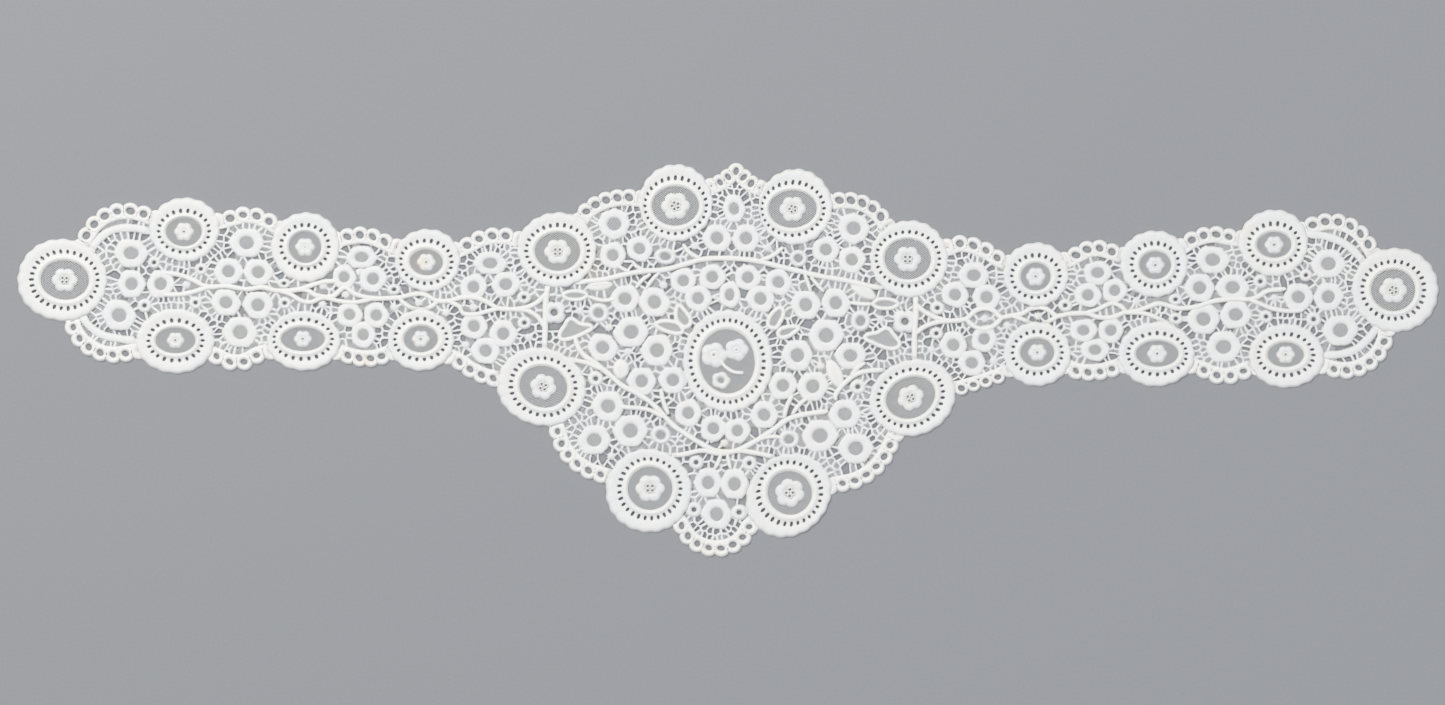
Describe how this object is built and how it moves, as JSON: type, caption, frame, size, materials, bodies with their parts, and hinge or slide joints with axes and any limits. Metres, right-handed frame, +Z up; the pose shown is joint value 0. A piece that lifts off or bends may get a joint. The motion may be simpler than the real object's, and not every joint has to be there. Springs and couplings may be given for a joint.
{
  "type": "bobbin lace lappet",
  "caption": "Lace lappet laid flat: round medallions and looped edging round a ground of florets and leafy stems, with an oval medallion at the broad middle.",
  "frame": {"origin": "middle of the lappet's length and width, on the surface that it lies on", "axes": "+X along the lappet to its right-hand tip, +Y towards the shallow peak of the upper edge, +Z up from the surface"},
  "size_m": [0.6, 0.1663, 0.0022],
  "materials": {
    "medallion_thread": "close white clothwork in fine linen or cotton thread",
    "edging_thread": "looped edging in warm white thread",
    "ground_thread": "white florets, stems and bars over fine net"
  },
  "bodies": {
    "root": {"edging_low_1": "edging_thread", "edging_low_10": "edging_thread", "edging_low_11": "edging_thread", "edging_low_2": "edging_thread", "edging_low_3": "edging_thread", "edging_low_4": "edging_thread", "edging_low_5": "edging_thread", "edging_low_6": "edging_thread", "edging_low_7": "edging_thread", "edging_low_8": "edging_thread", "edging_low_9": "edging_thread", "edging_top_1": "edging_thread", "edging_top_10": "edging_thread", "edging_top_11": "edging_thread", "edging_top_2": "edging_thread", "edging_top_3": "edging_thread", "edging_top_4": "edging_thread", "edging_top_5": "edging_thread", "edging_top_6": "edging_thread", "edging_top_7": "edging_thread", "edging_top_8": "edging_thread", "edging_top_9": "edging_thread", "ground_centre": "ground_thread", "ground_left": "ground_thread", "ground_right": "ground_thread", "medallion_centre": "medallion_thread", "medallion_low_1": "medallion_thread", "medallion_low_10": "medallion_thread", "medallion_low_2": "medallion_thread", "medallion_low_3": "medallion_thread", "medallion_low_4": "medallion_thread", "medallion_low_5": "medallion_thread", "medallion_low_6": "medallion_thread", "medallion_low_7": "medallion_thread", "medallion_low_8": "medallion_thread", "medallion_low_9": "medallion_thread", "medallion_tip_left": "medallion_thread", "medallion_tip_right": "medallion_thread", "medallion_top_1": "medallion_thread", "medallion_top_10": "medallion_thread", "medallion_top_2": "medallion_thread", "medallion_top_3": "medallion_thread", "medallion_top_4": "medallion_thread", "medallion_top_5": "medallion_thread", "medallion_top_6": "medallion_thread", "medallion_top_7": "medallion_thread", "medallion_top_8": "medallion_thread", "medallion_top_9": "medallion_thread"}
  },
  "joints": []
}
